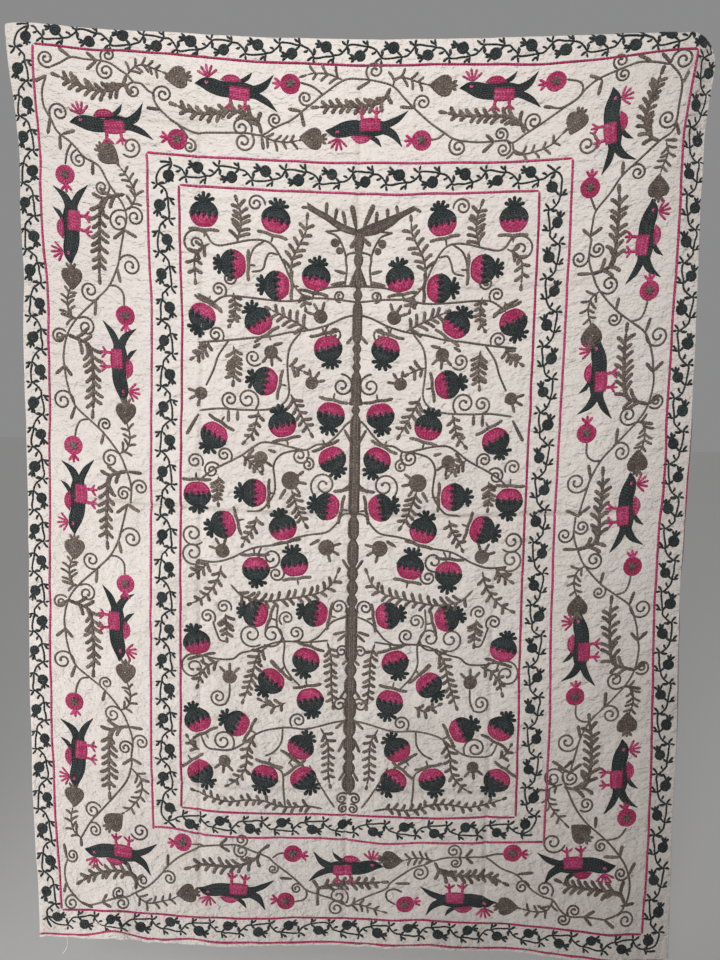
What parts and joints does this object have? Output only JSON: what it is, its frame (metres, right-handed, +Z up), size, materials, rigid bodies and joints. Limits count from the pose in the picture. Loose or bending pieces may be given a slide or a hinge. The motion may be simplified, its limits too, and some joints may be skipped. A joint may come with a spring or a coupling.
{
  "type": "suzani embroidered wall hanging",
  "caption": "Large hemmed cotton cloth, hung face-on by its top corners, with turned-back margins, a sagging middle and soft waves; tree-of-life embroidery.",
  "frame": {"origin": "crest of the top fold at the middle of the cloth's width", "axes": "+Z up, +X to the viewer's right along the top edge, -Y out of the embroidered face"},
  "size_m": [1.5154, 0.0413, 2.0819],
  "materials": {
    "cotton": "plain-weave unbleached cotton, matt, with slubs and storage creases",
    "charcoal_yarn": "chain-stitched wool yarn, matt",
    "pink_yarn": "chain-stitched wool yarn, matt",
    "taupe_yarn": "chain-stitched wool yarn, matt",
    "sewing_thread": "cotton sewing thread"
  },
  "bodies": {
    "root": {"cloth": "cotton"}
  },
  "joints": []
}
